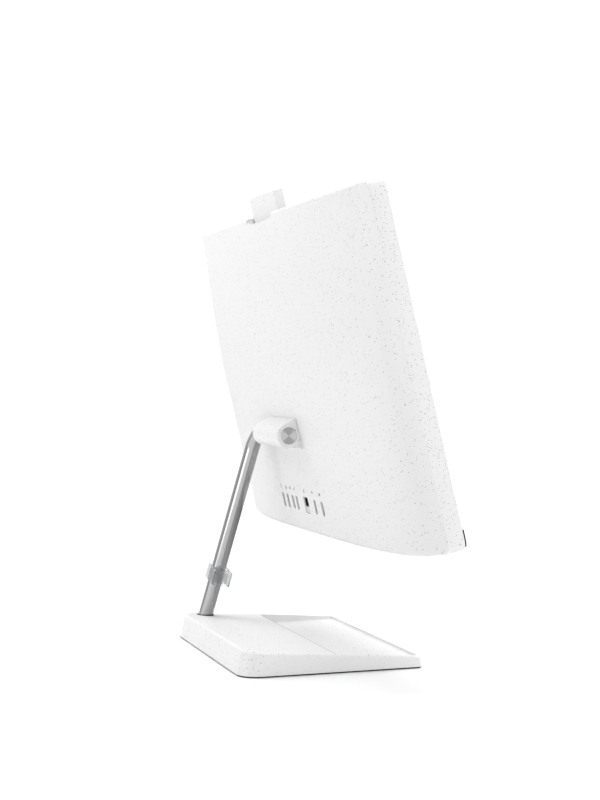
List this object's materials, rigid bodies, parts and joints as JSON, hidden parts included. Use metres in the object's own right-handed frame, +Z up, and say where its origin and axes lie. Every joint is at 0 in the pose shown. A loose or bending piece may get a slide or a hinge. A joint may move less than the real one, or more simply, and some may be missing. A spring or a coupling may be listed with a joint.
{
  "type": "all-in-one desktop computer",
  "caption": "All-in-one desktop computer on a single bent-tube stand, with a tilting display, a pop-up camera, a tray base and a sliding cable clip.",
  "frame": {"origin": "centre of the underside of the base's rubber pad, on the desk", "axes": "+Z up, +Y towards the back where the sockets are, +X to the right of someone facing the screen"},
  "size_m": [0.541, 0.178, 0.4548],
  "materials": {
    "case_white": "speckled satin white moulding",
    "tube_metal": "polished satin",
    "cap_metal": "radially turned",
    "steel": "plain",
    "screw_steel": "zinc",
    "socket_metal": "cast",
    "seal_white": "fine matt",
    "black_plastic": "fine matt",
    "black_gloss": "polished",
    "panel_back": "tray",
    "screen_glass": "dark switched-off screen",
    "board_green": "solder mask",
    "chip": "silicon lid",
    "copper": "copper",
    "fin_metal": "fins",
    "port_metal": "tin plate",
    "port_grey": "light grey",
    "rubber_black": "matt",
    "clip_clear": "clear plastic",
    "button_white": "satin"
  },
  "bodies": {
    "stand": {"stand_tube": "tube_metal", "axle_cap": "cap_metal", "tube_socket": "socket_metal", "tube_grommet": "rubber_black", "base_shell": "case_white", "base_plate": "steel", "base_weight": "steel", "foot_pad": "rubber_black", "base_screws": "screw_steel", "socket_screws": "screw_steel"},
    "display": {"rear_cover": "case_white", "hinge_block": "case_white", "friction_sleeves": "steel", "hinge_seal": "seal_white", "hinge_bracket": "steel", "hinge_screws": "screw_steel", "display_panel": "panel_back", "panel_glass": "screen_glass", "front_bezel": "black_plastic", "speaker_bar": "black_plastic", "chassis": "steel", "main_board": "board_green", "board_posts": "socket_metal", "board_screws": "screw_steel", "processor": "chip", "heat_pipe": "copper", "heat_sink": "fin_metal", "fan_housing": "black_plastic", "memory_modules": "board_green", "storage_drive": "board_green", "wireless_card": "board_green", "speakers": "panel_back", "usb_ports": "port_metal", "hdmi_port": "port_metal", "power_inlet": "port_metal", "ethernet_port": "port_grey", "ethernet_liner": "black_plastic", "camera_rails": "black_plastic", "button_board": "board_green"},
    "camera": {"camera_housing": "case_white", "camera_window": "black_gloss", "camera_lens": "black_gloss"},
    "fan": {"fan_impeller": "black_plastic"},
    "button": {"power_button": "button_white"},
    "clip": {"cable_clip": "clip_clear"}
  },
  "joints": [
    {"name": "display_tilt", "type": "hinge", "parent": "stand", "child": "display", "pos_m": [0, 0.01581, 0.21595], "axis": [-1, 0, 0], "range_deg": [-18.5, 6.5]},
    {"name": "camera_slide", "type": "slide", "parent": "display", "child": "camera", "axis": [0, 0.2334, 0.9724], "range_m": [-0.0195, 0]},
    {"name": "fan_spin", "type": "hinge", "parent": "display", "child": "fan", "pos_m": [-0.118, -0.01089, 0.24396], "axis": [0, 0.9724, -0.2334], "continuous": true},
    {"name": "button_press", "type": "slide", "parent": "display", "child": "button", "axis": [0, 0.2334, 0.9724], "range_m": [0, 0.0007], "stiffness_N_per_m": 1200, "springref_m": -0.0004},
    {"name": "clip_slide", "type": "slide", "parent": "stand", "child": "clip", "axis": [-0.1874, -0.2229, 0.9567], "range_m": [-0.033, 0.11]}
  ]
}
